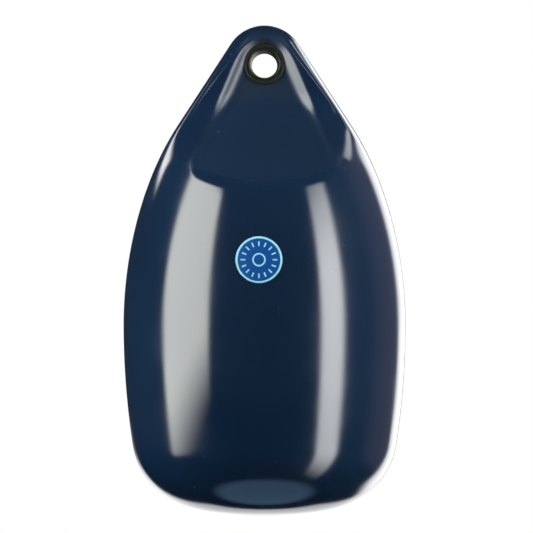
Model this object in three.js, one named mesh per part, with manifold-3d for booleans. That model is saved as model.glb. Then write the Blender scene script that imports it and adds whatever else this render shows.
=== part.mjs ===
// Teardrop boat fender that hangs by the rope eye at its top, in millimetres.
// +Z runs up through the rope eye, the front faces -Y, and the origin is the eye's centre.
// The body is one moulded, inflated shell that can't be seen into, so it is one solid.
// Its lug is flat in front and behind, and a scoop round the eye is pressed into each face.

import * as THREE from "three";
import { mergeVertices } from "three/addons/utils/BufferGeometryUtils.js";
import Module from "manifold-3d";

const wasm = await Module();
wasm.setup();

// Front outline of the body, half of it: every line and curve runs smoothly into the next one
const LUG_RADIUS = 32.7; // round top of the lug, about the eye
const TAPER_ANGLE = THREE.MathUtils.degToRad(33); // straight flank below the lug, from the vertical
const FLANK_END_BELOW_EYE = 49.7; // where the flank runs into the shoulder
const SHOULDER_FULLNESS = 0.47; // 0.5 makes the shoulder a parabola, and a larger value makes it squarer
const BODY_RADIUS = 114.8; // half of the widest diameter
const WIDEST_BELOW_EYE = 211;
const BELLY_RADIUS = 642; // long bulge below the widest line
const BASE_CORNER_RADIUS = 63;
const BASE_CROWN_RADIUS = 238; // shallow dome of the underside
const BOTTOM_BELOW_EYE = 367.9;

// The lug is flat in front and behind, and the shoulder is round again
const LUG_HALF_DEPTH = 23.5;
const LUG_EDGE_BLEND = 6; // rounding of the flat faces into the lug's edge
const FLATTENED_TO = 20; // below the eye, where the flattening starts to fade
const ROUND_FROM = 85; // below the eye, where the section is a full circle

// Scoop pressed into each face: a floor that ramps up below the eye, with a wall along its edge
const SEAT_HALF_DEPTH = 17; // half of the lug's thickness between the two seats of the eyelet
const SEAT_RECESS = 0.2; // the eyelet's seat is sunk this much into the floor
const WALL_INSIDE_FLANGE = 0.8; // the wall starts to rise this much inside the flange's edge
const WALL_ANGLE = THREE.MathUtils.degToRad(42); // slope of the wall away from the floor
const WALL_SPREAD = THREE.MathUtils.degToRad(23); // lean of both walls away from the axis below the eye
const RAMP_FOOT_BELOW_EYE = 32;
const LIP_BELOW_EYE = 100.5; // where the ramp runs out into the body's front
const RAMP_CROWN_RADIUS = 150; // the ramp is slightly round from side to side
const RAMP_BLEND = 14; // softness of the bend from the floor into the ramp
const VALLEY_BLEND = 4; // softness of the wall's foot
const RIDGE_BLEND = 3; // softness of the edge that the scoop leaves on the body

// Eyelet: one black bush through the lug, with a flared mouth and a flange at each end
const EYE_BORE_RADIUS = 10.3; // at its narrowest, halfway through
const MOUTH_FLARE = 2.3; // the bore widens by this much to the crest of each lip
const LIP_EDGE_RADIUS = 0.4;
const LIP_RISE = 0.7; // the lip stands this much above the flange
const GROOVE_WIDTH = 0.7; // ring groove between the lip and the flange
const GROOVE_DEPTH = 0.8;
const BARREL_RADIUS = 12.6;
const FLANGE_RADIUS = 16.3;
const FLANGE_THICKNESS = 2;
const FLANGE_EDGE_RADIUS = 0.8;

// Round sticker on the front, plain, which follows the body's surface
const LABEL_RADIUS = 19;
const LABEL_THICKNESS = 0.4;
const LABEL_OFF_CENTRE = -4.2;
const LABEL_BELOW_EYE = 158.5;

// Inflation valve: a screw plug flush with the shoulder on the back
const VALVE_BELOW_EYE = 135;
const VALVE_HEAD_RADIUS = 8;
const VALVE_HEAD_DEPTH = 2.4; // the head sinks this much into the body
const VALVE_HEAD_RISE = 0.8; // the low dome of the head above the body
const VALVE_STEM_RADIUS = 4.6;
const VALVE_LENGTH = 14;
const COIN_SLOT_WIDTH = 1.8;
const COIN_SLOT_DEPTH = 1.5;

const CLEARANCE = 0.3; // gap between pieces that touch on the real fender

// Facets
const BODY_SIDES = 64;
const ROUND_SIDES = 40; // eyelet, label and valve
const ARC_STEPS = 6; // facets along a small rounded edge
const LUG_STEPS = 11;
const FLANK_STEPS = 20;
const SHOULDER_STEPS = 23;
const LABEL_RINGS = 4;

const NAVY_PVC = { color: 0x112236, roughness: 0.12, metalness: 0 };
const BLACK_PLASTIC = { color: 0x1e211c, roughness: 0.35, metalness: 0 };
const BLUE_VINYL = { color: 0x0a5298, roughness: 0.4, metalness: 0 };
const BLACK_RUBBER = { color: 0x191a1b, roughness: 0.6, metalness: 0 };

// Centre of the arc that runs into two others, given its distances from their centres.
// Of the two such points it is the lower one, where the first centre is left of the second.
function touchingCentre(first, fromFirst, second, fromSecond) {
  const across = second.clone().sub(first);
  const apart = across.length();
  across.normalize();
  const along = (fromFirst ** 2 - fromSecond ** 2 + apart ** 2) / (2 * apart);
  const down = Math.sqrt(fromFirst ** 2 - along ** 2);
  return new THREE.Vector2(
    first.x + along * across.x + down * across.y,
    first.y + along * across.y - down * across.x,
  );
}

// Direction from one centre to another, as an angle above the horizontal
function direction(from, to) {
  return Math.atan2(to.y - from.y, to.x - from.x);
}

// Half-width of the straight flank at a height
function flankRadius(z) {
  return LUG_RADIUS / Math.cos(TAPER_ANGLE) - z * Math.tan(TAPER_ANGLE);
}

// The shoulder is one conic from the flank's end to the widest line.
// Its corner is where the flank, drawn on, would meet the widest line.
// A point's x is its distance from the fender's axis, and its y is its height.
const FLANK_END = new THREE.Vector2(flankRadius(-FLANK_END_BELOW_EYE), -FLANK_END_BELOW_EYE);
const SHOULDER_CORNER = new THREE.Vector2(
  BODY_RADIUS,
  FLANK_END.y - (BODY_RADIUS - FLANK_END.x) / Math.tan(TAPER_ANGLE),
);
const SHOULDER_END = new THREE.Vector2(BODY_RADIUS, -WIDEST_BELOW_EYE);
const CORNER_WEIGHT = SHOULDER_FULLNESS / (1 - SHOULDER_FULLNESS);

// Point of the shoulder, from share 0 at the flank to share 1 at the widest line
function shoulderPoint(share) {
  const first = (1 - share) ** 2;
  const middle = 2 * CORNER_WEIGHT * share * (1 - share);
  const last = share ** 2;
  return new THREE.Vector2()
    .addScaledVector(FLANK_END, first)
    .addScaledVector(SHOULDER_CORNER, middle)
    .addScaledVector(SHOULDER_END, last)
    .divideScalar(first + middle + last);
}

// Half-width of the shoulder at a height
function shoulderRadius(z) {
  const above = FLANK_END.y - z;
  const corner = CORNER_WEIGHT * (SHOULDER_CORNER.y - z);
  const below = SHOULDER_END.y - z;
  const share = above / (above - corner + Math.sqrt(corner ** 2 - above * below));
  return shoulderPoint(share).x;
}

// Half-width of the outline at a height between the lug and the base
function outlineRadius(z) {
  if (z > FLANK_END.y) return flankRadius(z);
  if (z > SHOULDER_END.y) return shoulderRadius(z);
  return BODY_RADIUS - BELLY_RADIUS + Math.sqrt(BELLY_RADIUS ** 2 - (z - SHOULDER_END.y) ** 2);
}

// How far the outline's normal leans up from the horizontal there
function outlineLean(z) {
  const reach = 0.1;
  return Math.atan2(outlineRadius(z - reach) - outlineRadius(z + reach), 2 * reach);
}

// Arcs of the outline from the widest line down to the underside
function baseArcs() {
  const belly = new THREE.Vector2(BODY_RADIUS - BELLY_RADIUS, SHOULDER_END.y);
  const crown = new THREE.Vector2(0, BASE_CROWN_RADIUS - BOTTOM_BELOW_EYE);
  const corner = touchingCentre(
    belly,
    BELLY_RADIUS - BASE_CORNER_RADIUS,
    crown,
    BASE_CROWN_RADIUS - BASE_CORNER_RADIUS,
  );
  const cornerTop = direction(belly, corner);
  const cornerBottom = direction(crown, corner);
  return [
    { centre: belly, radius: BELLY_RADIUS, from: 0, to: cornerTop, steps: 7 },
    { centre: corner, radius: BASE_CORNER_RADIUS, from: cornerTop, to: cornerBottom, steps: 8 },
    { centre: crown, radius: BASE_CROWN_RADIUS, from: cornerBottom, to: -Math.PI / 2, steps: 3 },
  ];
}

// Points of the outline from the top of the lug to the middle of the underside
function outlinePoints() {
  const points = [];
  for (let step = 0; step <= LUG_STEPS; step++) {
    const angle = Math.PI / 2 + (step / LUG_STEPS) * (TAPER_ANGLE - Math.PI / 2);
    points.push(new THREE.Vector2(Math.cos(angle), Math.sin(angle)).multiplyScalar(LUG_RADIUS));
  }
  const flankTop = points[points.length - 1].clone();
  for (let step = 1; step <= FLANK_STEPS; step++)
    points.push(flankTop.clone().lerp(FLANK_END, step / FLANK_STEPS));
  for (let step = 1; step <= SHOULDER_STEPS; step++) points.push(shoulderPoint(step / SHOULDER_STEPS));
  for (const arc of baseArcs())
    for (let step = 1; step <= arc.steps; step++) {
      const angle = arc.from + (step / arc.steps) * (arc.to - arc.from);
      points.push(
        new THREE.Vector2(Math.cos(angle), Math.sin(angle)).multiplyScalar(arc.radius).add(arc.centre),
      );
    }
  points[0].x = 0;
  points[points.length - 1].x = 0;
  return points;
}

// The larger of two depths, with a round corner where they cross
function softMax(a, b, blend) {
  const near = Math.max(blend - Math.abs(a - b), 0) / blend;
  return Math.max(a, b) + (near * near * blend) / 4;
}

// The smaller of two depths, with a round corner where they cross
function softMin(a, b, blend) {
  return -softMax(-a, -b, blend);
}

// Depth of the body's face where the turned outline is this deep, flat at the lug and round below it
function faceDepth(turned, z) {
  const round = THREE.MathUtils.smoothstep(-z, FLATTENED_TO, ROUND_FROM);
  return THREE.MathUtils.lerp(softMin(turned, LUG_HALF_DEPTH, LUG_EDGE_BLEND), turned, round);
}

// How far the wall rises above the scoop's floor: it runs round the eye's top and spreads below it
function wallRise(x, z) {
  const side = Math.abs(x);
  const beside = Math.atan2(z, side) < WALL_SPREAD;
  const fromEye = beside ? side * Math.cos(WALL_SPREAD) + z * Math.sin(WALL_SPREAD) : Math.hypot(x, z);
  const foot = FLANGE_RADIUS - WALL_INSIDE_FLANGE;
  return softMax(0, (fromEye - foot) * Math.tan(WALL_ANGLE), VALLEY_BLEND);
}

// Depth of a scoop's surface from the fender's middle plane
function scoopDepth(x, z) {
  const floor = SEAT_HALF_DEPTH + SEAT_RECESS;
  const slope = (outlineRadius(-LIP_BELOW_EYE) - floor) / (LIP_BELOW_EYE - RAMP_FOOT_BELOW_EYE);
  const ramp = floor + (-z - RAMP_FOOT_BELOW_EYE) * slope - x ** 2 / (2 * RAMP_CROWN_RADIUS);
  return softMax(floor, ramp, RAMP_BLEND) + wallRise(x, z);
}

// A closed geometry as a solid that can be cut and joined
function solidOf(geometry) {
  const bare = new THREE.BufferGeometry();
  bare.setAttribute("position", geometry.getAttribute("position"));
  bare.setIndex(geometry.index);
  const merged = mergeVertices(bare, 1e-4);
  const corners = Array.from(merged.index.array);
  const faces = [];
  for (let i = 0; i < corners.length; i += 3) {
    const [a, b, c] = corners.slice(i, i + 3);
    if (a !== b && b !== c && c !== a) faces.push(a, b, c);
  }
  return new wasm.Manifold(
    new wasm.Mesh({
      numProp: 3,
      vertProperties: merged.attributes.position.array,
      triVerts: new Uint32Array(faces),
    }),
  );
}

// A solid as a geometry
function geometryOf(solid) {
  const mesh = solid.getMesh();
  const geometry = new THREE.BufferGeometry();
  geometry.setAttribute("position", new THREE.BufferAttribute(mesh.vertProperties, 3));
  geometry.setIndex(new THREE.BufferAttribute(mesh.triVerts, 1));
  geometry.computeVertexNormals();
  return geometry;
}

// A named piece with its own material
function piece(name, geometry, finish) {
  const mesh = new THREE.Mesh(geometry, new THREE.MeshStandardMaterial(finish));
  mesh.name = name;
  return mesh;
}

// Body: the outline turned about the axis, flattened at the lug and pressed in by both scoops
function moulding() {
  const turned = new THREE.LatheGeometry(outlinePoints().reverse(), BODY_SIDES);
  turned.rotateX(Math.PI / 2);
  const place = turned.getAttribute("position");
  for (let i = 0; i < place.count; i++) {
    const z = place.getZ(i);
    const depth = faceDepth(Math.abs(place.getY(i)), z);
    const pressed = softMin(depth, scoopDepth(place.getX(i), z), RIDGE_BLEND);
    place.setY(i, Math.sign(place.getY(i)) * Math.max(pressed, 0));
  }
  return turned;
}

// Place of the valve on the back of the shoulder: its local Y axis points out of the body
function atValve(object) {
  const z = -VALVE_BELOW_EYE;
  object.position.set(0, outlineRadius(z), z);
  object.rotation.x = outlineLean(z);
  object.updateMatrix();
  return object;
}

// Outline of the valve plug's head and stem, grown by a clearance for the socket it sits in
function plugPoints(grown) {
  const stem = VALVE_STEM_RADIUS + grown;
  const head = VALVE_HEAD_RADIUS + grown;
  return [
    new THREE.Vector2(0, -VALVE_LENGTH - grown),
    new THREE.Vector2(stem, -VALVE_LENGTH - grown),
    new THREE.Vector2(stem, -VALVE_HEAD_DEPTH - grown),
    new THREE.Vector2(head, -VALVE_HEAD_DEPTH - grown),
  ];
}

// The plug itself: a low dome for a head, with a coin slot across it
function valvePlug() {
  const points = plugPoints(0);
  for (let step = 0; step <= ARC_STEPS; step++) {
    const angle = ((step / ARC_STEPS) * Math.PI) / 2;
    points.push(new THREE.Vector2(VALVE_HEAD_RADIUS * Math.cos(angle), VALVE_HEAD_RISE * Math.sin(angle)));
  }
  points[points.length - 1].x = 0;
  const slot = new THREE.BoxGeometry(3 * VALVE_HEAD_RADIUS, 2 * COIN_SLOT_DEPTH, COIN_SLOT_WIDTH);
  slot.translate(0, VALVE_HEAD_RISE, 0);
  return geometryOf(solidOf(new THREE.LatheGeometry(points, ROUND_SIDES)).subtract(solidOf(slot)));
}

// The socket for the plug, open through the body's surface
function valveSocket() {
  const mouth = VALVE_HEAD_DEPTH;
  const points = [
    ...plugPoints(CLEARANCE),
    new THREE.Vector2(VALVE_HEAD_RADIUS + CLEARANCE, mouth),
    new THREE.Vector2(0, mouth),
  ];
  const socket = new THREE.LatheGeometry(points, ROUND_SIDES);
  socket.applyMatrix4(atValve(new THREE.Object3D()).matrix);
  return socket;
}

// The eyelet's place: a bore through the lug, and a recess for the flange at each end
function eyeletSocket() {
  const bore = BARREL_RADIUS + CLEARANCE;
  const recess = FLANGE_RADIUS + CLEARANCE;
  const outside = 2 * LUG_HALF_DEPTH;
  const points = [
    new THREE.Vector2(0, -outside),
    new THREE.Vector2(recess, -outside),
    new THREE.Vector2(recess, -SEAT_HALF_DEPTH),
    new THREE.Vector2(bore, -SEAT_HALF_DEPTH),
    new THREE.Vector2(bore, SEAT_HALF_DEPTH),
    new THREE.Vector2(recess, SEAT_HALF_DEPTH),
    new THREE.Vector2(recess, outside),
    new THREE.Vector2(0, outside),
  ];
  return new THREE.LatheGeometry(points, ROUND_SIDES);
}

// The body with the places for the eyelet and the valve
function bodyPiece() {
  const solid = solidOf(moulding()).subtract(solidOf(eyeletSocket())).subtract(solidOf(valveSocket()));
  return piece("body", geometryOf(solid), NAVY_PVC);
}

// Section of the eyelet's front half, from the middle of the bore round to the barrel
function eyeletHalf() {
  const face = SEAT_HALF_DEPTH + CLEARANCE + FLANGE_THICKNESS;
  const crest = face + LIP_RISE;
  const lipOut = EYE_BORE_RADIUS + MOUTH_FLARE + LIP_EDGE_RADIUS;
  const points = [];
  for (let step = 0; step <= ARC_STEPS; step++) {
    const angle = ((step / ARC_STEPS) * Math.PI) / 2;
    points.push(
      new THREE.Vector2(EYE_BORE_RADIUS + MOUTH_FLARE * (1 - Math.cos(angle)), crest * Math.sin(angle)),
    );
  }
  points.push(
    new THREE.Vector2(lipOut, crest - LIP_EDGE_RADIUS),
    new THREE.Vector2(lipOut, face - GROOVE_DEPTH),
    new THREE.Vector2(lipOut + GROOVE_WIDTH, face - GROOVE_DEPTH),
    new THREE.Vector2(lipOut + GROOVE_WIDTH, face),
  );
  for (let step = 0; step <= ARC_STEPS / 2; step++) {
    const angle = (Math.PI / 2) * (1 - (2 * step) / ARC_STEPS);
    points.push(
      new THREE.Vector2(
        FLANGE_RADIUS - FLANGE_EDGE_RADIUS * (1 - Math.cos(angle)),
        face - FLANGE_EDGE_RADIUS * (1 - Math.sin(angle)),
      ),
    );
  }
  points.push(
    new THREE.Vector2(FLANGE_RADIUS, SEAT_HALF_DEPTH + CLEARANCE),
    new THREE.Vector2(BARREL_RADIUS, SEAT_HALF_DEPTH + CLEARANCE),
  );
  return points;
}

// Eyelet: its half section and the mirror image of it, turned about the bore
function eyeletPiece() {
  const half = eyeletHalf();
  const mirrored = half.map((point) => new THREE.Vector2(point.x, -point.y)).reverse();
  const loop = [...half, ...mirrored].reverse();
  const turned = new THREE.LatheGeometry(loop, ROUND_SIDES);
  return piece("eyelet", geometryOf(solidOf(turned)), BLACK_PLASTIC);
}

// Label: a flat disc in rings, laid against the body's front surface
function labelPiece() {
  const points = [];
  for (let ring = 0; ring <= LABEL_RINGS; ring++)
    points.push(new THREE.Vector2((LABEL_RADIUS * ring) / LABEL_RINGS, 0));
  for (let ring = LABEL_RINGS; ring >= 0; ring--)
    points.push(new THREE.Vector2((LABEL_RADIUS * ring) / LABEL_RINGS, LABEL_THICKNESS));
  const disc = new THREE.LatheGeometry(points, ROUND_SIDES);
  disc.translate(LABEL_OFF_CENTRE, 0, -LABEL_BELOW_EYE);
  const place = disc.getAttribute("position");
  for (let i = 0; i < place.count; i++) {
    const front = Math.sqrt(outlineRadius(place.getZ(i)) ** 2 - place.getX(i) ** 2);
    place.setY(i, place.getY(i) - front - CLEARANCE - LABEL_THICKNESS);
  }
  return piece("label", geometryOf(solidOf(disc)), BLUE_VINYL);
}

const fender = new THREE.Group();
fender.add(bodyPiece(), eyeletPiece(), labelPiece());
fender.add(atValve(piece("inflation_valve", valvePlug(), BLACK_RUBBER)));

export default fender;
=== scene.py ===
"""Looks of a teardrop boat fender: a glossy moulded body, its rope eyelet, a round label and a valve plug.

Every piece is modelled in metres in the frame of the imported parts: +Z runs up through the
rope eye, the front faces -Y and the origin is the centre of the eye.
"""

import logging
from dataclasses import dataclass
from enum import Enum
from math import atan2, cos, hypot, pi, radians, sin, sqrt, tan
from typing import Callable

import bpy
import numpy as np
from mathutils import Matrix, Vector


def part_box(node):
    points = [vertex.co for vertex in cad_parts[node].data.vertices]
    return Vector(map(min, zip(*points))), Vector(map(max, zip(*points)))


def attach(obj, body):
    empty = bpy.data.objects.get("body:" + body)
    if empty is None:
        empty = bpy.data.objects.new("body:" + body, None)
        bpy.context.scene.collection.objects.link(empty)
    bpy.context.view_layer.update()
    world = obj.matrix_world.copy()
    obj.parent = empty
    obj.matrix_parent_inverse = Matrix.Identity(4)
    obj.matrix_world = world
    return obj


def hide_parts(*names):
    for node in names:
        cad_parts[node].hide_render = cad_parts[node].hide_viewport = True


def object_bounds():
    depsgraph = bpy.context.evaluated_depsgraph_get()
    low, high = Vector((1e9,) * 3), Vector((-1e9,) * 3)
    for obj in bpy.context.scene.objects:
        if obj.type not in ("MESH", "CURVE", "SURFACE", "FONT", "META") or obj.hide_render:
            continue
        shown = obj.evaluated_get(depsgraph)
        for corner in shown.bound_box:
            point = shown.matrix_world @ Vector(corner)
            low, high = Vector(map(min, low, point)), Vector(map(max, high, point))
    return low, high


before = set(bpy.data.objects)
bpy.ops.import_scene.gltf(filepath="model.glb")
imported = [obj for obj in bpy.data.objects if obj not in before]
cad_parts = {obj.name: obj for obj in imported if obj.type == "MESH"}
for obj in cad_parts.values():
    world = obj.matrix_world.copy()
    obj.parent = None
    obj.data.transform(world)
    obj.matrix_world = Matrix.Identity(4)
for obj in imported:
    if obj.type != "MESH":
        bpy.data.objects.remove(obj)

CAD_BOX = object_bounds()
BODY = "root"
MM = 0.001
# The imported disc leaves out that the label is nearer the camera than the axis, so this comes off its edge.
LABEL_MARGIN = 1 * MM
Pair = tuple[float, float]
Tree = bpy.types.NodeTree
Socket = bpy.types.NodeSocket

log = logging.getLogger("fender")


class Slot(Enum):
    """The record's material slots."""

    BODY = "body_pvc"
    EYELET = "eyelet_plastic"
    LABEL = "label_vinyl"
    VALVE = "valve_rubber"


class Rays(Enum):
    """Kinds of ray that a material can tell apart."""

    CAMERA = "Is Camera Ray"
    GLOSSY = "Is Glossy Ray"
    THROUGH = "Is Transmission Ray"


def linear(hex_colour: int) -> tuple[float, float, float, float]:
    """Turns an sRGB colour into a linear one.

    Args:
        hex_colour: The colour as 0xRRGGBB.

    Returns:
        Red, green, blue and an alpha of one.
    """
    channels = []
    for shift in (16, 8, 0):
        share = (hex_colour >> shift & 255) / 255
        channels.append(share / 12.92 if share <= 0.04045 else ((share + 0.055) / 1.055) ** 2.4)
    return (*channels, 1.0)


def add_node(tree: Tree, kind: str, inputs: dict | None = None, **settings: object) -> bpy.types.Node:
    """Adds a node with its settings, and sets or links its inputs.

    Args:
        tree: The node tree.
        kind: Blender's name for the node type.
        inputs: A value or an output socket for each input, by its name or number.
        settings: The node's own settings.

    Returns:
        The new node.
    """
    node = tree.nodes.new(kind)
    for name, value in settings.items():
        setattr(node, name, value)
    for name, value in (inputs or {}).items():
        if isinstance(value, Socket):
            tree.links.new(value, node.inputs[name])
        else:
            node.inputs[name].default_value = value
    return node


def compute(tree: Tree, operation: str, *values: float | Socket) -> Socket:
    """Adds a maths node, whose values are numbers or output sockets, and returns its result."""
    return add_node(tree, "ShaderNodeMath", dict(enumerate(values)), operation=operation).outputs["Value"]


def fade(
    tree: Tree, value: Socket, limits: Pair, levels: Pair = (0.0, 1.0), kind: str = "LINEAR"
) -> Socket:
    """Goes from one level to another as a value goes from one limit to the other.

    Args:
        tree: The node tree.
        value: The value.
        limits: The values at which the fade starts and ends.
        levels: The levels there.
        kind: Blender's name for the way it goes between them.

    Returns:
        The level.
    """
    names = ("From Min", "From Max", "To Min", "To Max")
    inputs = {"Value": value, **dict(zip(names, (*limits, *levels)))}
    return add_node(tree, "ShaderNodeMapRange", inputs, interpolation_type=kind).outputs["Result"]


def noise(tree: Tree, place: Socket, scale: float, detail: float = 2.0) -> Socket:
    """Adds a noise pattern with so many cells to the metre, and returns its value."""
    inputs = {"Vector": place, "Scale": scale, "Detail": detail}
    return add_node(tree, "ShaderNodeTexNoise", inputs).outputs["Fac"]


def bump(tree: Tree, height: Socket, distance: float, **under: Socket) -> Socket:
    """Raises a surface by a pattern, over another bump's Normal where one is given, and returns the normal."""
    inputs = {"Height": height, "Distance": distance, "Strength": 1.0, **under}
    return add_node(tree, "ShaderNodeBump", inputs).outputs["Normal"]


def mix_colours(tree: Tree, share: Socket, first: tuple | Socket, last: tuple | Socket) -> Socket:
    """Mixes two colours by the last one's share, and returns the mixed colour."""
    inputs = {"Factor": share, "A": first, "B": last}
    return add_node(tree, "ShaderNodeMix", inputs, data_type="RGBA").outputs["Result"]


def emission(tree: Tree, hex_colour: int, strength: float | Socket) -> Socket:
    """Adds a glow of a colour and a strength, and returns its shader."""
    inputs = {"Color": linear(hex_colour), "Strength": strength}
    return add_node(tree, "ShaderNodeEmission", inputs).outputs["Emission"]


def object_place(tree: Tree) -> Socket:
    """Returns the place of a surface point in its object."""
    return add_node(tree, "ShaderNodeTexCoord").outputs["Object"]


def add_surface(tree: Tree, output: bpy.types.Node, inputs: dict) -> None:
    """Ends a material with its surface, whose inputs are values or output sockets."""
    shader = add_node(tree, "ShaderNodeBsdfPrincipled", inputs)
    tree.links.new(shader.outputs["BSDF"], output.inputs["Surface"])


def spread(middle: float, steps: Pair) -> Pair:
    """Returns the two levels that lie a step each from a value."""
    return middle + steps[0], middle + steps[1]


def empty_material(name: str) -> tuple[bpy.types.Material, Tree, bpy.types.Node]:
    """Makes a material whose node tree holds only its output.

    Args:
        name: The material's name.

    Returns:
        The material, its node tree and the output node.
    """
    material = bpy.data.materials.new(name)
    material.use_nodes = True
    tree = material.node_tree
    tree.nodes.clear()
    return material, tree, tree.nodes.new("ShaderNodeOutputMaterial")


def select_only(piece: bpy.types.Object) -> None:
    """Deselects everything else and makes the piece the active one."""
    bpy.ops.object.select_all(action="DESELECT")
    piece.select_set(True)
    bpy.context.view_layer.objects.active = piece


def apply_modifier(piece: bpy.types.Object, kind: str, **settings: object) -> None:
    """Adds a modifier and applies it.

    Args:
        piece: The piece that gets it.
        kind: Blender's name for the modifier type.
        settings: The modifier's settings.
    """
    modifier = piece.modifiers.new(kind.lower(), kind)
    for name, value in settings.items():
        setattr(modifier, name, value)
    select_only(piece)
    bpy.ops.object.modifier_apply(modifier=modifier.name)


def round_edges(piece: bpy.types.Object, width: float, angle: float) -> None:
    """Rounds the edges of a piece that turn by more than an angle."""
    apply_modifier(piece, "BEVEL", width=width, segments=2, limit_method="ANGLE", angle_limit=angle)


def dress(piece: bpy.types.Object, crease: float, material: bpy.types.Material) -> bpy.types.Object:
    """Smooths a piece and gives it its material.

    Args:
        piece: The piece.
        crease: An edge that turns by more than this stays crisp.
        material: The piece's material.

    Returns:
        The same piece.
    """
    select_only(piece)
    bpy.ops.object.shade_smooth_by_angle(angle=crease)
    piece.data.materials.append(material)
    return piece


def cut_away(piece: bpy.types.Object, tool: bpy.types.Object) -> None:
    """Cuts a tool's shape out of a piece and removes the tool."""
    apply_modifier(piece, "BOOLEAN", object=tool, operation="DIFFERENCE", solver="EXACT")
    bpy.data.objects.remove(tool)


def move_vertices(piece: bpy.types.Object, rule: Callable[[np.ndarray], np.ndarray]) -> None:
    """Moves every vertex of a piece by a rule.

    Args:
        piece: The piece, with its object at the origin.
        rule: Takes an array of places, one row each, and returns the new places.
    """
    count = len(piece.data.vertices)
    places = np.empty(3 * count)
    piece.data.vertices.foreach_get("co", places)
    piece.data.vertices.foreach_set("co", rule(places.reshape(count, 3)).ravel())
    piece.data.update()


@dataclass(frozen=True)
class Turning:
    """An axis that a profile is turned about, with the direction in which the profile's radius lies."""

    centre: Vector
    axis: Vector
    side: Vector

    def turn(self, name: str, profile: list[Pair], steps: int) -> bpy.types.Object:
        """Extrudes a vertex along a profile and spins it a full turn.

        Args:
            name: The piece's name.
            profile: Radius and height along the axis of each point.
            steps: How many facets go round.

        Returns:
            The turned piece, with its object at the origin.
        """
        places = [self.centre + self.side * radius + self.axis * height for radius, height in profile]
        bpy.ops.object.select_all(action="DESELECT")
        bpy.ops.mesh.primitive_plane_add(size=MM, location=places[0])
        piece = bpy.context.object
        piece.name = name
        bpy.ops.object.transform_apply(location=True, rotation=True, scale=True)
        bpy.ops.object.mode_set(mode="EDIT")
        bpy.ops.mesh.select_all(action="SELECT")
        bpy.ops.mesh.merge(type="CENTER")
        for here, there in zip(places, places[1:]):
            bpy.ops.mesh.extrude_vertices_move(TRANSFORM_OT_translate={"value": there - here})
        bpy.ops.mesh.select_all(action="SELECT")
        bpy.ops.mesh.spin(steps=steps, angle=2 * pi, center=self.centre, axis=self.axis)
        bpy.ops.mesh.select_all(action="SELECT")
        bpy.ops.mesh.remove_doubles(threshold=0.002 * MM)
        bpy.ops.mesh.normals_make_consistent(inside=False)
        bpy.ops.object.mode_set(mode="OBJECT")
        return piece


UPRIGHT = Turning(Vector((0, 0, 0)), Vector((0, 0, 1)), Vector((1, 0, 0)))
THROUGH = Turning(Vector((0, 0, 0)), Vector((0, 1, 0)), Vector((1, 0, 0)))


def arc(centre: Pair, radius: float, first: float, last: float, steps: int) -> list[Pair]:
    """Lists points of an arc.

    Args:
        centre: Distance from the axis, and height, of the arc's centre.
        radius: The arc's radius.
        first: Angle of the first point above the horizontal.
        last: Angle of the last point.
        steps: How many steps lie between them.

    Returns:
        The points, both ends among them.
    """
    angles = [first + (last - first) * step / steps for step in range(steps + 1)]
    return [(centre[0] + radius * cos(angle), centre[1] + radius * sin(angle)) for angle in angles]


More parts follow.
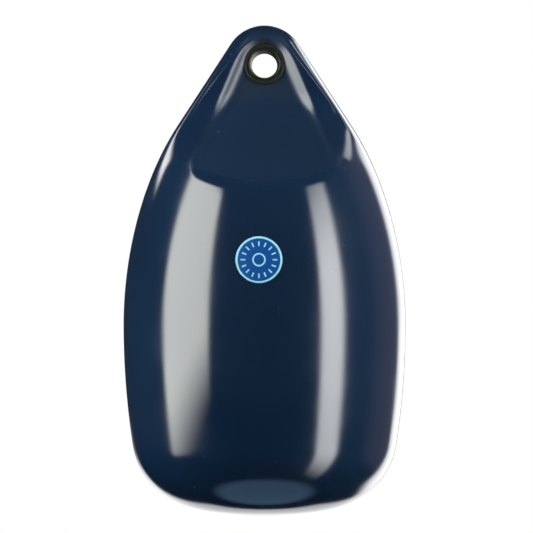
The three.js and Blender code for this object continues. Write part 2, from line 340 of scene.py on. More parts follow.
@dataclass(frozen=True)
class Outline:
    """Half of the fender's front outline: a round lug, a straight flank, a shoulder, a belly and a base."""

    lug_radius: float
    body_radius: float
    bottom: float
    taper: float = radians(33)
    flank_end: float = -49.7 * MM
    shoulder_fullness: float = 0.47
    widest: float = -211 * MM
    belly_radius: float = 642 * MM
    corner_radius: float = 63 * MM
    crown_radius: float = 238 * MM
    flank_rows: int = 68
    shoulder_rows: int = 100

    def flank_radius(self, height: float) -> float:
        """Returns the half-width of the straight flank at a height."""
        return self.lug_radius / cos(self.taper) - height * tan(self.taper)

    def shoulder_weight(self) -> float:
        """Returns the weight of the shoulder conic's middle point."""
        return self.shoulder_fullness / (1 - self.shoulder_fullness)

    def shoulder_corner(self) -> float:
        """Returns the height at which the flank, drawn on, would meet the widest line."""
        return self.flank_end - (self.body_radius - self.flank_radius(self.flank_end)) / tan(self.taper)

    def shoulder_point(self, share: float) -> Pair:
        """Gives a point of the shoulder, which is a conic from the flank to the widest line.

        Args:
            share: From 0 at the flank to 1 at the widest line.

        Returns:
            Its distance from the axis, and its height.
        """
        first = (1 - share) ** 2
        middle = 2 * self.shoulder_weight() * share * (1 - share)
        last = share**2
        total = first + middle + last
        radius = first * self.flank_radius(self.flank_end) + (middle + last) * self.body_radius
        height = first * self.flank_end + middle * self.shoulder_corner() + last * self.widest
        return radius / total, height / total

    def shoulder_radius(self, height: float) -> float:
        """Returns the half-width of the shoulder at a height."""
        above = self.flank_end - height
        corner = self.shoulder_weight() * (self.shoulder_corner() - height)
        below = self.widest - height
        return self.shoulder_point(above / (above - corner + sqrt(corner**2 - above * below)))[0]

    def radius(self, height: float) -> float:
        """Returns the half-width at a height between the lug and the base."""
        if height > self.flank_end:
            return self.flank_radius(height)
        if height > self.widest:
            return self.shoulder_radius(height)
        below = self.widest - height
        return self.body_radius - self.belly_radius + sqrt(self.belly_radius**2 - below**2)

    def lean(self, height: float) -> float:
        """Returns how far the outline's normal leans up from the horizontal at a height."""
        reach = 0.1 * MM
        return atan2(self.radius(height - reach) - self.radius(height + reach), 2 * reach)

    def corner_centre(self) -> Pair:
        """Returns the centre of the base corner, which runs into the belly and the underside's crown."""
        belly = (self.body_radius - self.belly_radius, self.widest)
        crown = (0.0, self.bottom + self.crown_radius)
        from_belly = self.belly_radius - self.corner_radius
        from_crown = self.crown_radius - self.corner_radius
        apart = hypot(crown[0] - belly[0], crown[1] - belly[1])
        across = ((crown[0] - belly[0]) / apart, (crown[1] - belly[1]) / apart)
        along = (from_belly**2 - from_crown**2 + apart**2) / (2 * apart)
        down = sqrt(from_belly**2 - along**2)
        x = belly[0] + along * across[0] + down * across[1]
        z = belly[1] + along * across[1] - down * across[0]
        return x, z

    def points(self) -> list[Pair]:
        """Returns the outline, from the top of the lug to the middle of the underside."""
        lug = arc((0, 0), self.lug_radius, pi / 2, self.taper, steps=28)
        top = lug[-1][1]
        length = self.flank_end - top
        heights = [top + length * row / self.flank_rows for row in range(1, self.flank_rows)]
        flank = [(self.flank_radius(height), height) for height in heights]
        rows = self.shoulder_rows
        shoulder = [self.shoulder_point(row / rows) for row in range(rows + 1)]
        belly = (self.body_radius - self.belly_radius, self.widest)
        crown = (0.0, self.bottom + self.crown_radius)
        corner = self.corner_centre()
        corner_top = atan2(corner[1] - belly[1], corner[0] - belly[0])
        corner_end = atan2(corner[1] - crown[1], corner[0] - crown[0])
        outline = [(0.0, self.lug_radius), *lug[1:], *flank, *shoulder]
        outline += arc(belly, self.belly_radius, 0, corner_top, steps=30)[1:]
        outline += arc(corner, self.corner_radius, corner_top, corner_end, steps=36)[1:]
        outline += arc(crown, self.crown_radius, corner_end, -pi / 2, steps=14)[1:-1]
        return [*outline, (0.0, self.bottom)]


@dataclass(frozen=True)
class MouldedPvc:
    """Plasticised PVC moulded against a polished steel shell: a deep gloss with a faint waviness.

    The gloss shows each lamp as a clean band. Handling leaves short hair-line scratches, a few pale
    specks and patches where the gloss is a little duller. The scoops are duller than the rest, as from
    a blasted tool, so a lamp is a soft glow there. Each pair of limits is where a fade starts and ends.
    """

    colour: int = 0x162C44
    deep_colour: int = 0x102338
    scuff_colour: int = 0x5C6C7E
    cloud_scale: float = 14.0
    refraction: float = 1.54
    specular: float = 0.9
    roughness: float = 0.13
    roughness_spread: Pair = (-0.02, 0.04)
    dull_scale: float = 22.0
    dull_limits: Pair = (0.35, 0.75)
    scoop_roughness: float = 0.22
    scoop_slope: float = 0.43
    scoop_side: Pair = (28 * MM, 23 * MM)
    scoop_bow: float = -3.6
    scoop_lip: Pair = (-100.5 * MM, -95 * MM)
    wave_length: float = 55 * MM
    wave_height: float = 0.10 * MM
    peel_length: float = 3 * MM
    peel_height: float = 0.0016 * MM
    scratch_width: float = 0.7 * MM
    scratch_scales: Pair = (12.0, 30.0)
    scratch_turn: tuple[float, float, float] = (0.3, 0.5, 0.2)
    scratch_limits: Pair = (0.73, 0.8)
    scratch_share: float = 0.35
    speck_size: float = 9 * MM
    speck_limits: Pair = (0.1, 0.06)
    speck_share: float = 0.6
    speck_draw: Pair = (0.86, 0.9)

    def in_scoop(self, tree: Tree, place: Socket) -> Socket:
        """Masks the scoops, which widen from the eye down to their curved lip.

        Args:
            tree: The material's nodes.
            place: Where the surface point is.

        Returns:
            One inside the scoops and zero outside them.
        """
        axes = add_node(tree, "ShaderNodeSeparateXYZ", {"Vector": place})
        aside = compute(tree, "ABSOLUTE", axes.outputs["X"])
        ridge = compute(tree, "MULTIPLY_ADD", axes.outputs["Z"], self.scoop_slope, aside)
        bow = compute(tree, "MULTIPLY", aside, aside)
        lip = compute(tree, "MULTIPLY_ADD", bow, self.scoop_bow, axes.outputs["Z"])
        beside = fade(tree, ridge, self.scoop_side)
        return compute(tree, "MULTIPLY", beside, fade(tree, lip, self.scoop_lip))

    def wear(self, tree: Tree, place: Socket) -> Socket:
        """Masks the scratches and the few pale specks.

        Args:
            tree: The material's nodes.
            place: Where the surface point is.

        Returns:
            How scuffed the surface is.
        """
        stretched = add_node(
            tree,
            "ShaderNodeMapping",
            {
                "Vector": place,
                "Rotation": self.scratch_turn,
                "Scale": (1 / self.scratch_width, *self.scratch_scales),
            },
        )
        scratches = noise(tree, stretched.outputs["Vector"], 1.0)
        fine = fade(tree, scratches, self.scratch_limits, (0.0, self.scratch_share))
        cells = add_node(tree, "ShaderNodeTexVoronoi", {"Vector": place, "Scale": 1 / self.speck_size})
        speck = fade(tree, cells.outputs["Distance"], self.speck_limits, (0.0, self.speck_share))
        draw = add_node(tree, "ShaderNodeSeparateColor", {"Color": cells.outputs["Color"]})
        few = fade(tree, draw.outputs["Red"], self.speck_draw)
        return compute(tree, "MAXIMUM", compute(tree, "MULTIPLY", speck, few), fine)

    def material(self) -> bpy.types.Material:
        """Returns the material."""
        material, tree, output = empty_material("navy_pvc_moulded_glossy")
        place = object_place(tree)
        tint = mix_colours(
            tree, noise(tree, place, self.cloud_scale), linear(self.deep_colour), linear(self.colour)
        )
        dull = noise(tree, place, self.dull_scale, 4.0)
        gloss = fade(tree, dull, self.dull_limits, spread(self.roughness, self.roughness_spread))
        roughness = compute(tree, "MULTIPLY_ADD", self.in_scoop(tree, place), self.scoop_roughness, gloss)
        waviness = bump(tree, noise(tree, place, 1 / self.wave_length, 1.0), self.wave_height)
        peel = noise(tree, place, 1 / self.peel_length, 1.0)
        add_surface(
            tree,
            output,
            {
                "Base Color": mix_colours(tree, self.wear(tree, place), tint, linear(self.scuff_colour)),
                "Roughness": roughness,
                "IOR": self.refraction,
                "Specular IOR Level": self.specular,
                "Normal": bump(tree, peel, self.peel_height, Normal=waviness),
            },
        )
        return material


@dataclass(frozen=True)
class MouldedNylon:
    """Glass-filled nylon, injection moulded: satin black, with a fine grain that softens its highlights."""

    colour: int = 0x1E2016
    refraction: float = 1.53
    roughness: float = 0.42
    roughness_spread: Pair = (-0.06, 0.08)
    rubbed_scale: float = 180.0
    rubbed_limits: Pair = (0.3, 0.7)
    grain: float = 0.5 * MM
    grain_height: float = 0.01 * MM

    def material(self) -> bpy.types.Material:
        """Returns the material."""
        material, tree, output = empty_material("black_nylon_moulded_satin")
        place = object_place(tree)
        rubbed = noise(tree, place, self.rubbed_scale, 3.0)
        add_surface(
            tree,
            output,
            {
                "Base Color": linear(self.colour),
                "Roughness": fade(
                    tree, rubbed, self.rubbed_limits, spread(self.roughness, self.roughness_spread)
                ),
                "IOR": self.refraction,
                "Normal": bump(tree, noise(tree, place, 1 / self.grain), self.grain_height),
            },
        )
        return material


@dataclass(frozen=True)
class PrintedVinyl:
    """Self-adhesive vinyl, screen printed: an even satin blue with a crisp pale ring at the edge.

    Inside the ring it has a plain dial of short ticks round a small open ring.
    """

    centre: Pair
    radius: float
    blue: int = 0x044D90
    pale: int = 0xA6E2EF
    refraction: float = 1.5
    roughness: float = 0.38
    ring_width: float = 1.5 * MM
    tick_outer: float = 14.2 * MM
    tick_inner: float = 10.6 * MM
    tick_count: int = 16
    tick_width: float = 1.1 * MM
    hub_radius: float = 5.2 * MM
    hub_width: float = 1.2 * MM
    softness: float = 0.12 * MM

    def edge_limits(self, half: float) -> Pair:
        """Returns where the soft edge of a printed line starts and ends, from its half-width."""
        return half + self.softness, half - self.softness

    def band(self, tree: Tree, distance: Socket, inner: float, outer: float) -> Socket:
        """Masks the print between two radii.

        Args:
            tree: The node tree.
            distance: Distance from the label's centre.
            inner: The smaller radius.
            outer: The larger radius.

        Returns:
            One inside the band and zero outside it.
        """
        offset = compute(tree, "SUBTRACT", distance, (inner + outer) / 2)
        return fade(tree, compute(tree, "ABSOLUTE", offset), self.edge_limits((outer - inner) / 2))

    def print_mask(self, tree: Tree) -> Socket:
        """Masks all of the pale print.

        Args:
            tree: The material's nodes.

        Returns:
            One on the pale print and zero on the blue.
        """
        flat = add_node(
            tree,
            "ShaderNodeMapping",
            {
                "Vector": object_place(tree),
                "Location": (-self.centre[0], 0.0, -self.centre[1]),
                "Scale": (1.0, 0.0, 1.0),
            },
        ).outputs["Vector"]
        distance = add_node(tree, "ShaderNodeVectorMath", {0: flat}, operation="LENGTH").outputs["Value"]
        axes = add_node(tree, "ShaderNodeSeparateXYZ", {"Vector": flat})
        angle = compute(tree, "ARCTAN2", axes.outputs["X"], axes.outputs["Z"])
        turned = compute(tree, "PINGPONG", angle, pi / self.tick_count)
        across = compute(tree, "MULTIPLY", turned, distance)
        tick = fade(tree, across, self.edge_limits(self.tick_width / 2))
        ticks = compute(tree, "MULTIPLY", tick, self.band(tree, distance, self.tick_inner, self.tick_outer))
        hub = self.band(tree, distance, self.hub_radius - self.hub_width, self.hub_radius)
        edge = self.band(tree, distance, self.radius - self.ring_width, self.radius + self.ring_width)
        return compute(tree, "MAXIMUM", compute(tree, "MAXIMUM", ticks, hub), edge)

    def material(self) -> bpy.types.Material:
        """Returns the material."""
        material, tree, output = empty_material("blue_vinyl_screen_printed")
        colour = mix_colours(tree, self.print_mask(tree), linear(self.blue), linear(self.pale))
        inputs = {"Base Color": colour, "Roughness": self.roughness, "IOR": self.refraction}
        add_surface(tree, output, inputs)
        return material


@dataclass(frozen=True)
class CuredRubber:
    """Cured black rubber, compression moulded: matt, with a dry mottled skin."""

    colour: int = 0x1B1C1D
    refraction: float = 1.52
    roughness: float = 0.62
    mottle: float = 0.8 * MM
    mottle_height: float = 0.03 * MM

    def material(self) -> bpy.types.Material:
        """Returns the material."""
        material, tree, output = empty_material("black_rubber_cured_matt")
        mottle = noise(tree, object_place(tree), 1 / self.mottle, 3.0)
        add_surface(
            tree,
            output,
            {
                "Base Color": linear(self.colour),
                "Roughness": self.roughness,
                "IOR": self.refraction,
                "Normal": bump(tree, mottle, self.mottle_height),
            },
        )
        return material


def soft_max(a: np.ndarray, b: np.ndarray, blend: float) -> np.ndarray:
    """Returns the larger of two depths, with a round corner of a given size where they cross."""
    near = np.maximum(blend - np.abs(a - b), 0) / blend
    return np.maximum(a, b) + near**2 * blend / 4


def soft_min(a: np.ndarray, b: np.ndarray, blend: float) -> np.ndarray:
    """Returns the smaller of two depths, with a round corner of a given size where they cross."""
    return -soft_max(-a, -b, blend)


@dataclass(frozen=True)
class FenderBody:
    """The moulded body: the outline turned about its axis, with a flat lug.

    A scoop is pressed into both faces of the lug. Its floor ramps up below the eye, and a wall along its
    edge runs round the eye's top and spreads below it.
    """

    outline: Outline
    flange_radius: float
    bore_radius: float
    seat_half_depth: float
    lug_half_depth: float = 23.5 * MM
    lug_edge_blend: float = 6 * MM
    flattened_to: float = 20 * MM
    round_from: float = 85 * MM
    seat_recess: float = 0.2 * MM
    wall_inside_flange: float = 0.8 * MM
    wall_angle: float = radians(42)
    wall_spread: float = radians(23)
    ramp_foot: float = -32 * MM
    lip: float = -100.5 * MM
    ramp_crown_radius: float = 150 * MM
    ramp_blend: float = 14 * MM
    valley_blend: float = 4 * MM
    ridge_blend: float = 3 * MM
    clearance: float = 0.3 * MM
    crease: float = radians(35)
    sides: int = 288
    socket_sides: int = 128

    def face_depth(self, turned: np.ndarray, height: np.ndarray) -> np.ndarray:
        """Gives the depth of the body's face, flat at the lug and round below it.

        Args:
            turned: Depths of the turned outline.
            height: Heights above the eye.

        Returns:
            Depths of the face without its scoop.
        """
        share = np.clip((-height - self.flattened_to) / (self.round_from - self.flattened_to), 0, 1)
        flat = soft_min(turned, np.full_like(turned, self.lug_half_depth), self.lug_edge_blend)
        return flat + (turned - flat) * share**2 * (3 - 2 * share)

    def wall_rise(self, x: np.ndarray, z: np.ndarray) -> np.ndarray:
        """Gives how far the wall rises above the scoop's floor.

        Args:
            x: Distances to the right of the axis.
            z: Heights above the eye.

        Returns:
            Rises above the floor.
        """
        side = np.abs(x)
        beside = side * cos(self.wall_spread) + z * sin(self.wall_spread)
        from_eye = np.where(np.arctan2(z, side) < self.wall_spread, beside, np.hypot(x, z))
        foot = self.flange_radius - self.wall_inside_flange
        return soft_max(np.zeros_like(x), (from_eye - foot) * tan(self.wall_angle), self.valley_blend)

    def scoop_depth(self, x: np.ndarray, z: np.ndarray) -> np.ndarray:
        """Gives the depth of a scoop's surface.

        Args:
            x: Distances to the right of the axis.
            z: Heights above the eye.

        Returns:
            Depths from the body's middle plane.
        """
        floor = self.seat_half_depth + self.seat_recess
        slope = (self.outline.radius(self.lip) - floor) / (self.ramp_foot - self.lip)
        ramp = floor + (self.ramp_foot - z) * slope - x**2 / (2 * self.ramp_crown_radius)
        return soft_max(np.full_like(x, floor), ramp, self.ramp_blend) + self.wall_rise(x, z)

    def press(self, places: np.ndarray) -> np.ndarray:
        """Flattens the lug and presses both scoops into it.

        Args:
            places: Points of the turned body.

        Returns:
            Points of the moulded body.
        """
        x, y, z = places.T
        depth = self.face_depth(np.abs(y), z)
        pressed = np.maximum(soft_min(depth, self.scoop_depth(x, z), self.ridge_blend), 0)
        return np.column_stack((x, np.sign(y) * pressed, z))

    def eyelet_socket(self) -> bpy.types.Object:
        """Returns the shape that is cut out for the eyelet: a bore, with a recess at each end."""
        recess = self.flange_radius + self.clearance
        outside = 2 * self.lug_half_depth
        half = [
            (self.bore_radius, self.seat_half_depth),
            (recess, self.seat_half_depth),
            (recess, outside),
            (0.0, outside),
        ]
        mirrored = [(radius, -height) for radius, height in reversed(half)]
        return THROUGH.turn("eyelet_socket", [*mirrored, *half], self.socket_sides)

    def build(self, finish: MouldedPvc, socket: bpy.types.Object) -> bpy.types.Object:
        """Makes the body with the places for the eyelet and the valve.

        Args:
            finish: The body's finish.
            socket: The shape of the valve's socket, which is used up.

        Returns:
            The dressed body.
        """
        body = UPRIGHT.turn("fender_body", self.outline.points(), self.sides)
        move_vertices(body, self.press)
        cut_away(body, self.eyelet_socket())
        cut_away(body, socket)
        return dress(body, self.crease, finish.material())


@dataclass(frozen=True)
class RopeEyelet:
    """The black bush through the lug, with a flange, a ring groove and a flared mouth at each end."""

    flange_radius: float
    crest: float
    throat_radius: float = 10.3 * MM
    mouth_flare: float = 2.3 * MM
    lip_edge_radius: float = 0.4 * MM
    lip_rise: float = 0.7 * MM
    groove_width: float = 0.7 * MM
    groove_depth: float = 0.8 * MM
    barrel_radius: float = 12.6 * MM
    flange_thickness: float = 2 * MM
    edge_radius: float = 0.8 * MM
    rounding: float = 0.12 * MM
    crease: float = radians(40)
    mouth_steps: int = 24
    sides: int = 128

    def half_section(self) -> list[Pair]:
        """Returns the section of one end, from the middle of the bore round to the barrel."""
        face = self.crest - self.lip_rise
        mouth = self.throat_radius + self.mouth_flare
        groove_in = mouth + self.lip_edge_radius
        groove_out = groove_in + self.groove_width
        rim = self.flange_radius - self.edge_radius
        steps = self.mouth_steps
        angles = [pi / 2 * step / steps for step in range(steps)]
        section = [(mouth - self.mouth_flare * cos(angle), self.crest * sin(angle)) for angle in angles]
        section += arc((mouth, self.crest - self.lip_edge_radius), self.lip_edge_radius, pi / 2, 0, steps=6)
        section += [
            (groove_in, face - self.groove_depth),
            (groove_out, face - self.groove_depth),
            (groove_out, face),
        ]
        section += arc((rim, face - self.edge_radius), self.edge_radius, pi / 2, 0, steps=8)
        section += [
            (self.flange_radius, face - self.flange_thickness),
            (self.barrel_radius, face - self.flange_thickness),
        ]
        return section

    def build(self, finish: MouldedNylon) -> bpy.types.Object:
        """Makes the eyelet.

        Args:
            finish: The eyelet's finish.

        Returns:
            The dressed eyelet.
        """
        half = self.half_section()
        mirrored = [(radius, -height) for radius, height in reversed(half)]
        eyelet = THROUGH.turn("rope_eyelet", [*half, *mirrored], self.sides)
        round_edges(eyelet, self.rounding, self.crease)
        return dress(eyelet, self.crease, finish.material())


@dataclass(frozen=True)
class RoundLabel:
    """The round sticker on the front, which follows the body's surface."""

    outline: Outline
    centre: Pair
    radius: float
    stand_off: float = 0.05 * MM
    thickness: float = 0.4 * MM
    rounding: float = 0.1 * MM
    rounded_over: float = radians(50)
    crease: float = radians(40)
    rings: int = 12
    sides: int = 128

    def lay(self, places: np.ndarray) -> np.ndarray:
        """Lays the flat disc against the body's front.

        Args:
            places: Points of the flat disc.

        Returns:
            Points just in front of the body.
        """
        x, _, z = places.T
        across = np.array([self.outline.radius(height) for height in z])
        return np.column_stack((x, -np.sqrt(across**2 - x**2) - self.stand_off, z))

    def build(self, finish: PrintedVinyl) -> bpy.types.Object:
        """Makes the label.

        Args:
            finish: The label's finish.

        Returns:
            The dressed label.
        """
        bpy.ops.object.select_all(action="DESELECT")
        bpy.ops.mesh.primitive_circle_add(
            vertices=self.sides,
            radius=self.radius,
            fill_type="NGON",
            location=(self.centre[0], 0, self.centre[1]),
            rotation=(pi / 2, 0, 0),
        )
        label = bpy.context.object
        label.name = "round_label"
        bpy.ops.object.transform_apply(location=True, rotation=True, scale=True)
        bpy.ops.object.mode_set(mode="EDIT")
        bpy.ops.mesh.select_all(action="SELECT")
        for _ in range(self.rings - 1):
            bpy.ops.mesh.inset(thickness=self.radius / self.rings)
        bpy.ops.mesh.poke()
        bpy.ops.object.mode_set(mode="OBJECT")
        move_vertices(label, self.lay)
        apply_modifier(label, "SOLIDIFY", thickness=self.thickness, offset=1.0, use_even_offset=True)
        round_edges(label, self.rounding, self.rounded_over)
        return dress(label, self.crease, finish.material())


@dataclass(frozen=True)
class ValvePlug:
    """The inflation valve on the back of the shoulder: a screw plug with a coin slot, in a socket."""

    outline: Outline
    height: float = -135 * MM
    head_radius: float = 8 * MM
    head_depth: float = 2.4 * MM
    head_rise: float = 0.8 * MM
    stem_radius: float = 4.6 * MM
    length: float = 14 * MM
    slot_width: float = 1.8 * MM
    slot_depth: float = 1.5 * MM
    clearance: float = 0.3 * MM
    rounding: float = 0.2 * MM
    rounded_over: float = radians(40)
    crease: float = radians(35)
    dome_steps: int = 16
    sides: int = 96

    def turning(self) -> Turning:
        """Returns the plug's axis, which points out of the body's back."""
        lean = self.outline.lean(self.height)
        place = Vector((0, self.outline.radius(self.height), self.height))
        return Turning(place, Vector((0, cos(lean), sin(lean))), Vector((1, 0, 0)))

    def section(self, grown: float) -> list[Pair]:
        """Gives the section of the stem and of the head's underside.

        Args:
            grown: How much larger than the plug it is all round.

        Returns:
            Radius and height of each point, from the inner end outwards.
        """
        stem = self.stem_radius + grown
        head = self.head_radius + grown
        return [
            (0.0, -self.length - grown),
            (stem, -self.length - grown),
            (stem, -self.head_depth - grown),
            (head, -self.head_depth - grown),
        ]

    def socket(self) -> bpy.types.Object:
        """Returns the shape that is cut out of the body for the plug."""
        mouth = self.head_depth
        rim = self.head_radius + self.clearance
        profile = [*self.section(self.clearance), (rim, mouth), (0.0, mouth)]
        return self.turning().turn("valve_socket", profile, self.sides)

    def build(self, finish: CuredRubber) -> bpy.types.Object:
        """Makes the plug.

        Args:
            finish: The plug's finish.

        Returns:
            The dressed plug.
        """
        steps = self.dome_steps
        angles = [pi / 2 * step / steps for step in range(steps + 1)]
        dome = [(self.head_radius * cos(angle), self.head_rise * sin(angle)) for angle in angles]
        turning = self.turning()
        profile = [*self.section(0), *dome[:-1], (0.0, self.head_rise)]
        plug = turning.turn("valve_plug", profile, self.sides)
        bpy.ops.object.select_all(action="DESELECT")
        bpy.ops.mesh.primitive_cube_add(
            size=1,
            location=turning.centre + turning.axis * self.head_rise,
            rotation=(self.outline.lean(self.height), 0, 0),
            scale=(3 * self.head_radius, 2 * self.slot_depth, self.slot_width),
        )
        cut_away(plug, bpy.context.object)
        round_edges(plug, self.rounding, self.rounded_over)
        return dress(plug, self.crease, finish.material())


def stand(azimuth: float, distance: float, height: float) -> Vector:
    """Finds a place round the fender.

    Args:
        azimuth: Degrees to the right of the front, as seen from above.
        distance: Distance from the fender's axis.
        height: Height above the eye.

    Returns:
        The place.
    """
    turn = radians(azimuth)
    place = Vector((sin(turn), -cos(turn), 0)) * distance
    place.z = height
    return place


@dataclass(frozen=True)
class Softbox:
    """A lamp's glowing front, which faces the fender's axis and shows in the gloss."""

    name: str
    azimuth: float
    distance: float
    bottom: float
    width: float
    height: float
    strength: float
    soft_side: float = 0.05
    soft_top: float = 0.05
    soft_bottom: float = 0.05
    slant: float = 0.0
    colour: int = 0xFFFFFF

    def build(self) -> None:
        """Makes the lamp's front as a glowing panel that only the gloss sees."""
        place = stand(self.azimuth, self.distance, self.bottom + self.height / 2)
        rotation = (pi / 2, 0, radians(self.azimuth) + pi)
        bpy.ops.object.select_all(action="DESELECT")
        bpy.ops.mesh.primitive_plane_add(size=1, location=place, rotation=rotation)
        panel = bpy.context.object
        panel.name = self.name
        bpy.ops.object.mode_set(mode="EDIT")
        bpy.ops.mesh.select_all(action="SELECT")
        bpy.ops.transform.resize(value=(self.width, self.height, self.height))
        bpy.ops.object.mode_set(mode="OBJECT")
        panel.data.materials.append(self.glow())
        panel.visible_camera = False
        panel.visible_diffuse = False
        panel.visible_shadow = False

    def glow(self) -> bpy.types.Material:
        """Returns a glow that fades to nothing at the panel's borders, the lower of which can slant."""
        material, tree, output = empty_material(f"{self.name}_glow")
        axes = add_node(tree, "ShaderNodeSeparateXYZ", {"Vector": object_place(tree)})
        across, up = axes.outputs["X"], axes.outputs["Y"]
        slanted = compute(tree, "MULTIPLY_ADD", across, self.slant, up)
        borders = [
            (across, self.width / 2, -self.soft_side),
            (across, -self.width / 2, self.soft_side),
            (up, self.height / 2, -self.soft_top),
            (slanted, -self.height / 2, self.soft_bottom),
        ]
        share = 1.0
        for distance, border, inwards in borders:
            inside = fade(tree, distance, (border, border + inwards), kind="SMOOTHSTEP")
            share = compute(tree, "MULTIPLY", share, inside)
        clear = add_node(tree, "ShaderNodeBsdfTransparent").outputs["BSDF"]
        lit = emission(tree, self.colour, self.strength)
        shader = add_node(tree, "ShaderNodeMixShader", {0: share, 1: clear, 2: lit})
        tree.links.new(shader.outputs["Shader"], output.inputs["Surface"])
        return material


@dataclass(frozen=True)
class SoftLight:
    """A broad soft light that brings out the matt surfaces and doesn't show in the gloss."""

    name: str
    azimuth: float
    energy: float
    colour: int = 0xFFFFFF
    distance: float = 1.2
    height: float = 0.3
    size: float = 0.9
    aim_height: float = -0.17

    def build(self) -> None:
        """Makes the light."""
        place = stand(self.azimuth, self.distance, self.height)
        aim = Vector((0, 0, self.aim_height)) - place
        rotation = aim.to_track_quat("-Z", "Y").to_euler()
        bpy.ops.object.light_add(type="AREA", location=place, rotation=rotation)
        lamp = bpy.context.object
        lamp.name = self.name
        lamp.data.shape = "SQUARE"
        lamp.data.size = self.size
        lamp.data.energy = self.energy
        lamp.data.color = linear(self.colour)[:3]
        lamp.visible_glossy = False
        lamp.visible_camera = False


@dataclass(frozen=True)
class Studio:
    """The photograph's studio: a white room, with a pale floor far below.

    Two glowing panels in front make the long bands in the gloss. Five more at the sides and behind
    make its rims. Three broad lights bring out the matt surfaces.
    """

    floor_height: float = -1.45
    floor_size: float = 9.0
    floor_colour: int = 0xE4E6E8
    floor_lift: float = 0.6
    # Painted pool of light: a bluish glow on the floor that only glossy rays see, so the underside shows a
    # pale patch.
    painted_pool_colour: int = 0x9FD2FF
    painted_pool_strength: float = 0.73
    pool_offset: tuple[float, float, float] = (0.0, 0.265, 0.0)
    pool_scale: tuple[float, float, float] = (1.75, 1.83, 0.0)
    pool_limits: Pair = (1.15, 0.85)
    room_glow: float = 0.02

    def build(self) -> None:
        """Makes the lamps, the floor and the world."""
        for lamp in [*self.panels(), *self.lights()]:
            lamp.build()
        self.floor()
        self.world()

    def panels(self) -> list[Softbox]:
        """Returns the lamps' fronts, whose shapes show in the gloss."""
        return [
            Softbox(
                "left_softbox", azimuth=-61.5, distance=0.75, bottom=-0.58, width=0.62, height=1.08,
                strength=5.7, soft_side=0.07, soft_top=0.1, soft_bottom=0.3, slant=0.4, colour=0xFFFFF6,
            ),
            Softbox(
                "right_strip", azimuth=51.6, distance=0.75, bottom=-1.32, width=0.31, height=2.02,
                strength=6.5, soft_side=0.07, soft_top=0.75, soft_bottom=1.15,
            ),
            Softbox(
                "right_rim_panel", azimuth=151, distance=1.6, bottom=-1.44, width=0.95, height=2.31,
                strength=3.0, soft_side=0.2, soft_top=0.3, soft_bottom=0.4,
            ),
            Softbox(
                "right_rim_upper", azimuth=125.5, distance=1.6, bottom=0.9, width=0.46, height=0.5,
                strength=2.4, soft_side=0.1, soft_top=0.2, soft_bottom=0.15,
            ),
            Softbox(
                "right_wall", azimuth=118, distance=1.65, bottom=-1.3, width=2.0, height=2.6,
                strength=0.28, soft_side=0.8, soft_top=0.5, soft_bottom=0.5, colour=0xCDB4C4,
            ),
            Softbox(
                "left_rim_panel", azimuth=-138, distance=1.6, bottom=0.3, width=0.52, height=0.5,
                strength=3.6, soft_side=0.15, soft_top=0.25, soft_bottom=0.12,
            ),
            Softbox(
                "low_backdrop", azimuth=180, distance=0.8, bottom=-1.44, width=0.94, height=1.1,
                strength=1.9, soft_side=0.14, soft_top=0.25, soft_bottom=0.06,
            ),
        ]

    def lights(self) -> list[SoftLight]:
        """Returns a light for each side and a weaker one behind."""
        return [
            SoftLight("left_light", azimuth=-68, energy=24.0, colour=0xE4F4FF),
            SoftLight("right_light", azimuth=68, energy=24.0),
            SoftLight("back_light", azimuth=180, energy=14.0),
        ]

    def floor(self) -> None:
        """Adds the pale floor, with a painted pool of light in its middle: a glow that only glossy rays see,
        which the underside shows.
        """
        bpy.ops.object.select_all(action="DESELECT")
        bpy.ops.mesh.primitive_plane_add(size=self.floor_size, location=(0, 0, self.floor_height))
        floor = bpy.context.object
        floor.name = "studio_floor"
        material, tree, output = empty_material("pale_painted_floor")
        rays = add_node(tree, "ShaderNodeLightPath")
        pool = add_node(
            tree,
            "ShaderNodeMapping",
            {"Vector": object_place(tree), "Location": self.pool_offset, "Scale": self.pool_scale},
        )
        distance = add_node(
            tree, "ShaderNodeVectorMath", {0: pool.outputs["Vector"]}, operation="LENGTH"
        ).outputs["Value"]
        # The painted pool of light, a glow that glossy rays see in place of the floor's paint.
        lit = emission(
            tree, self.painted_pool_colour, fade(tree, distance, self.pool_limits, (0.0, self.painted_pool_strength))
        )
        paint = add_node(tree, "ShaderNodeBsdfDiffuse", {"Color": linear(self.floor_colour)})
        lift = compute(tree, "MULTIPLY", rays.outputs[Rays.CAMERA.value], self.floor_lift)
        white = emission(tree, 0xFFFFFF, lift)
        seen = add_node(tree, "ShaderNodeAddShader", {0: paint.outputs["BSDF"], 1: white})
        shader = add_node(
            tree,
            "ShaderNodeMixShader",
            {0: rays.outputs[Rays.GLOSSY.value], 1: seen.outputs["Shader"], 2: lit},
        )
        tree.links.new(shader.outputs["Shader"], output.inputs["Surface"])
        floor.data.materials.append(material)

    def world(self) -> None:
        """Makes the room white to the camera and through glass, and nearly dark to everything else."""
        world = bpy.data.worlds.new("studio_room")
        bpy.context.scene.world = world
        world.use_nodes = True
        tree = world.node_tree
        tree.nodes.clear()
        rays = add_node(tree, "ShaderNodeLightPath")
        seen = compute(tree, "MAXIMUM", rays.outputs[Rays.CAMERA.value], rays.outputs[Rays.THROUGH.value])
        strength = fade(tree, seen, (0.0, 1.0), (self.room_glow, 1.0))
        room = add_node(tree, "ShaderNodeBackground", {"Color": linear(0xFFFFFF), "Strength": strength})
        output = add_node(tree, "ShaderNodeOutputWorld")
        tree.links.new(room.outputs["Background"], output.inputs["Surface"])


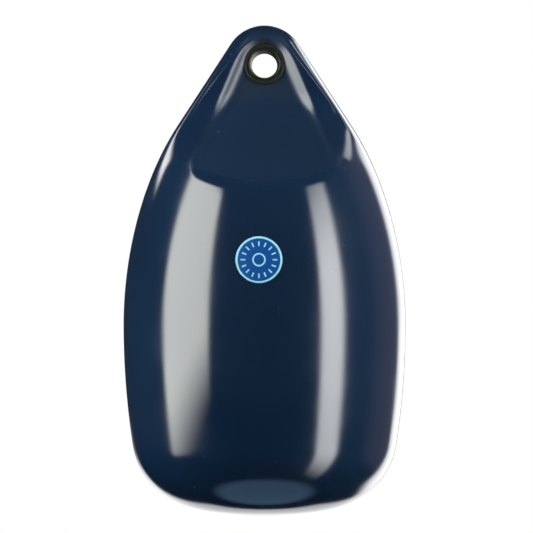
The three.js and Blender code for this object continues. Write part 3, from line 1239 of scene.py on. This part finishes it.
@dataclass(frozen=True)
class PhotoCamera:
    """The photograph's camera: level with the fender's middle, straight in front of it, and far away."""

    distance: float = 2.0
    sensor: float = 36.0
    photo_size: int = 533
    eye_pixel: Pair = (264.5, 65.8)
    top_pixel: float = 25.5
    bottom_pixel: float = 516.5

    def build(self) -> None:
        """Places the camera so that the fender fills the frame as it does in the photograph."""
        low, high = CAD_BOX
        pixel = (high.z - low.z) / (self.bottom_pixel - self.top_pixel)
        x = (self.photo_size / 2 - self.eye_pixel[0]) * pixel
        z = (self.eye_pixel[1] - self.photo_size / 2) * pixel
        bpy.ops.object.camera_add(location=(x, -self.distance, z), rotation=(pi / 2, 0, 0))
        camera = bpy.context.object
        camera.data.sensor_width = self.sensor
        camera.data.lens = self.sensor * self.distance / (self.photo_size * pixel)
        bpy.context.scene.camera = camera


def keep(piece: bpy.types.Object, node: str) -> None:
    """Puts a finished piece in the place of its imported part.

    Args:
        piece: The finished piece.
        node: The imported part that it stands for.
    """
    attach(piece, BODY)
    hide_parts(node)
    faces = len(piece.data.polygons)
    log.info("%s stands for %s, with %d faces", piece.name, node, faces)


def build_pieces() -> None:
    """Builds each piece of the fender in order."""
    body_low, body_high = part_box("body")
    _, eyelet_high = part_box("eyelet")
    label_low, label_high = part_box("label")
    outline = Outline(lug_radius=body_high.z, body_radius=body_high.x, bottom=body_low.z)
    label_centre = ((label_low.x + label_high.x) / 2, (label_low.z + label_high.z) / 2)
    label_radius = (label_high.x - label_low.x) / 2 - LABEL_MARGIN
    eyelet = RopeEyelet(flange_radius=eyelet_high.x, crest=eyelet_high.y)
    valve = ValvePlug(outline)
    body = FenderBody(
        outline,
        flange_radius=eyelet.flange_radius,
        bore_radius=eyelet.barrel_radius + valve.clearance,
        seat_half_depth=eyelet.crest - eyelet.lip_rise - eyelet.flange_thickness - valve.clearance,
    )
    label = RoundLabel(outline, label_centre, label_radius)
    keep(body.build(MouldedPvc(), valve.socket()), "body")
    keep(eyelet.build(MouldedNylon()), "eyelet")
    keep(label.build(PrintedVinyl(label_centre, label_radius)), "label")
    keep(valve.build(CuredRubber()), "inflation_valve")


def main() -> None:
    """Makes the camera, the studio and every piece."""
    logging.basicConfig(level=logging.INFO, format="%(name)s: %(message)s")
    PhotoCamera().build()
    Studio().build()
    build_pieces()
    bpy.context.scene.view_settings.view_transform = "Standard"


if __name__ == "__main__":
    main()
